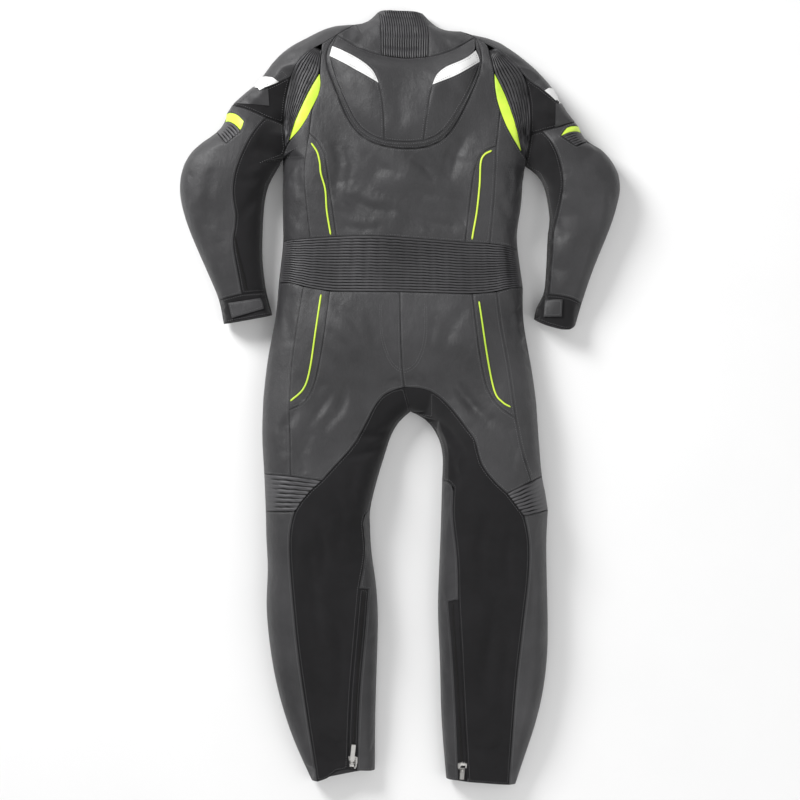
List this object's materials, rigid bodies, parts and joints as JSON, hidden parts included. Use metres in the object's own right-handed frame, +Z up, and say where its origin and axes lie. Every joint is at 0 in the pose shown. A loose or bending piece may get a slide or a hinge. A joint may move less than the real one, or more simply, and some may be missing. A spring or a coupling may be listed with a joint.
{
  "type": "one-piece motorcycle race suit",
  "caption": "Empty one-piece leather race suit laid flat, back up: aero hump, ribbed stretch panels, open neck, cuffs and hems, calf zips.",
  "frame": {"origin": "centre of the laid garment's outline box, on the floor it lies on", "axes": "+X towards the wearer's right side, +Y from the hems to the collar, +Z up from the floor, out of the garment's back"},
  "size_m": [0.8391, 1.472, 0.1111],
  "materials": {
    "leather": "matte, fine grain",
    "stretch": "matte woven",
    "rib": "matte, pleated",
    "bright": "satin",
    "white": "satin",
    "metal": "satin"
  },
  "bodies": {
    "suit": {"back_main": "leather", "back_side_left": "leather", "back_side_right": "leather", "back_strip_left": "leather", "back_strip_right": "leather", "calf_zip_left": "stretch", "calf_zip_right": "stretch", "collar_rib": "rib", "cuff_left": "stretch", "cuff_right": "stretch", "cuff_strap_left": "leather", "cuff_strap_right": "leather", "elbow_band_left": "bright", "elbow_band_right": "bright", "elbow_rib_left": "rib", "elbow_rib_right": "rib", "forearm_leather_left": "leather", "forearm_leather_right": "leather", "forearm_stretch_left": "stretch", "forearm_stretch_right": "stretch", "front_left": "leather", "front_leg_left": "leather", "front_leg_right": "leather", "front_right": "leather", "front_sleeve_left": "leather", "front_sleeve_right": "leather", "front_zip": "stretch", "hip_strip_left": "leather", "hip_strip_right": "leather", "hump_centre": "leather", "hump_flash_left": "white", "hump_flash_right": "white", "hump_inset_left": "leather", "hump_inset_right": "leather", "hump_rim": "leather", "inner_leather_left": "leather", "inner_leather_right": "leather", "inner_stretch_left": "stretch", "inner_stretch_right": "stretch", "knee_rib_left": "rib", "knee_rib_right": "rib", "lumbar_rib": "rib", "seat_left": "leather", "seat_right": "leather", "shin_left": "leather", "shin_right": "leather", "shoulder_cap_left": "leather", "shoulder_cap_right": "leather", "shoulder_lens_left": "bright", "shoulder_lens_right": "bright", "shoulder_rib_left": "rib", "shoulder_rib_right": "rib", "thigh_side_left": "leather", "thigh_side_right": "leather", "upper_sleeve_left": "stretch", "upper_sleeve_right": "stretch", "yoke_left": "leather", "yoke_right": "leather"},
    "pull_tab_left": {"pull_tab_left": "metal"},
    "pull_tab_right": {"pull_tab_right": "metal"}
  },
  "joints": [
    {"name": "pull_tab_left_hinge", "type": "hinge", "parent": "suit", "child": "pull_tab_left", "pos_m": [-0.091, -0.69, 0.04904], "axis": [0.9945, -0.1045, 0], "range_deg": [0, 120]},
    {"name": "pull_tab_right_hinge", "type": "hinge", "parent": "suit", "child": "pull_tab_right", "pos_m": [0.118, -0.704, 0.04956], "axis": [-0.9976, 0.0698, 0], "range_deg": [0, 120]}
  ]
}
